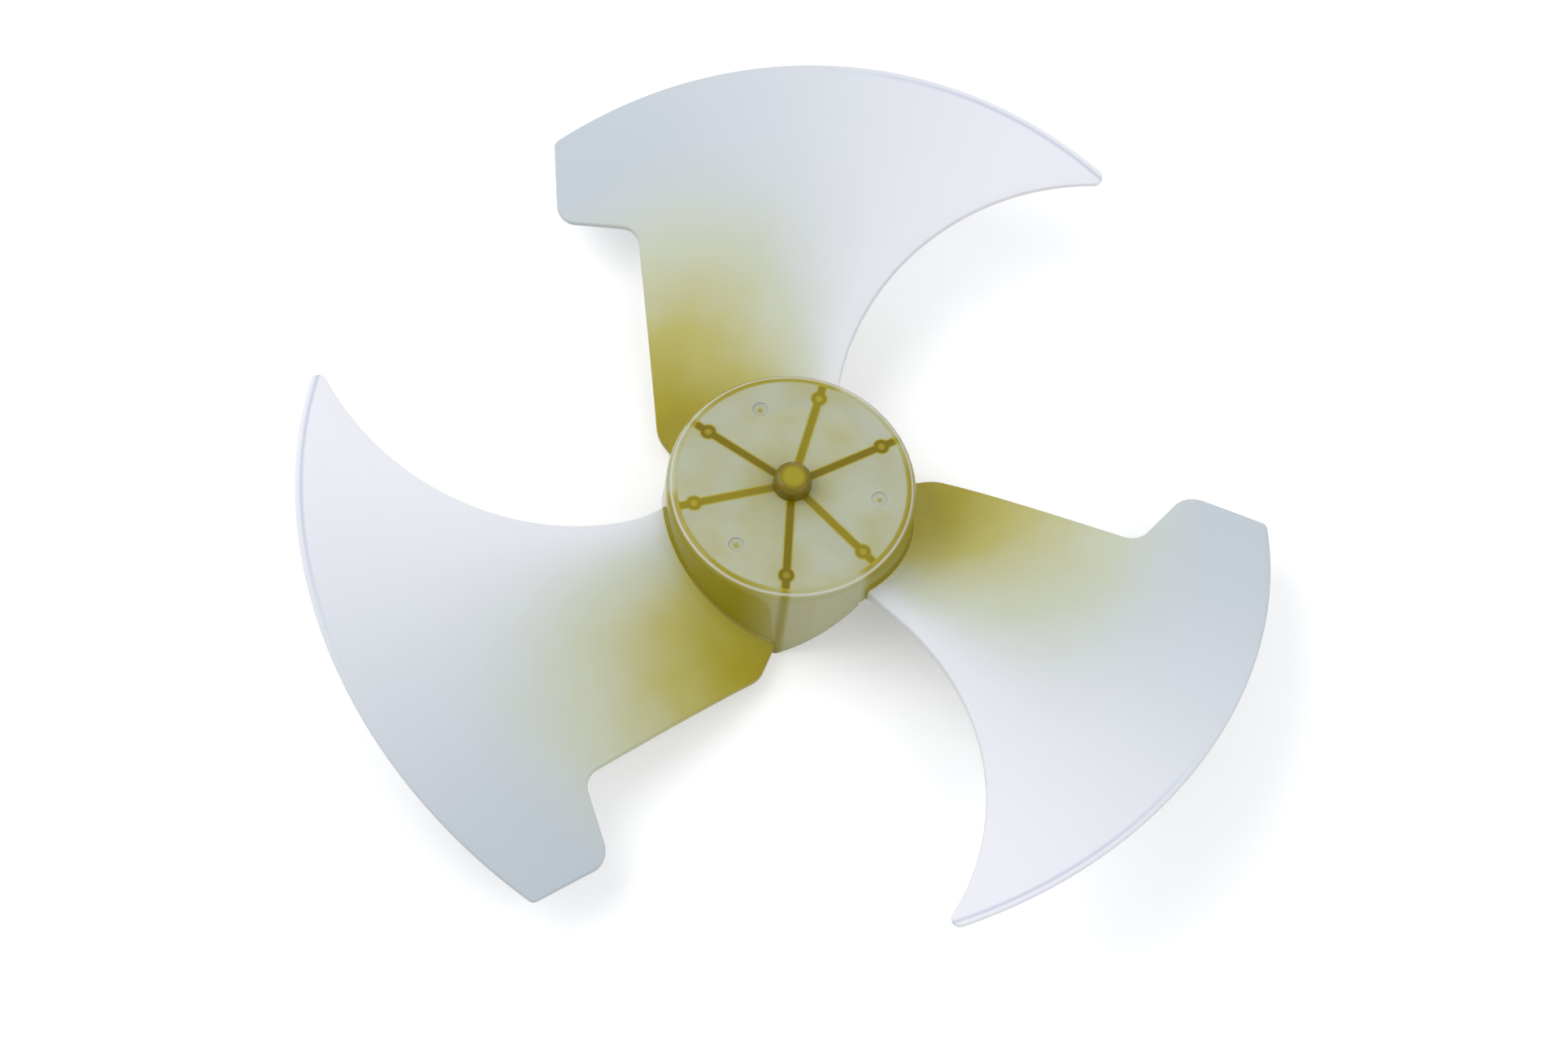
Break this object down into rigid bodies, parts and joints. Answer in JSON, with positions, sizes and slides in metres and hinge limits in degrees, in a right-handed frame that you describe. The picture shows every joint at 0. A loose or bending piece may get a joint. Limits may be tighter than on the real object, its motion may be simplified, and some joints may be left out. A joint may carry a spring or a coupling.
{
  "type": "air conditioner fan blade",
  "caption": "One-piece moulded axial fan for an air conditioner's outdoor unit: swept blades with a notched trailing edge round a ribbed hub cup that slides onto a motor shaft.",
  "frame": {"origin": "on the shaft axis, at the rear end of the sleeve, where the motor shaft enters", "axes": "+Z along the shaft axis, out of the closed disc; one blade reaches towards +Y, the top of the picture"},
  "size_m": [0.4, 0.3862, 0.0598],
  "materials": {
    "milky_plastic": "satin, milky and translucent, with an amber tint where the moulding is thick"
  },
  "bodies": {
    "root": {"fan_blade": "milky_plastic"}
  },
  "joints": []
}
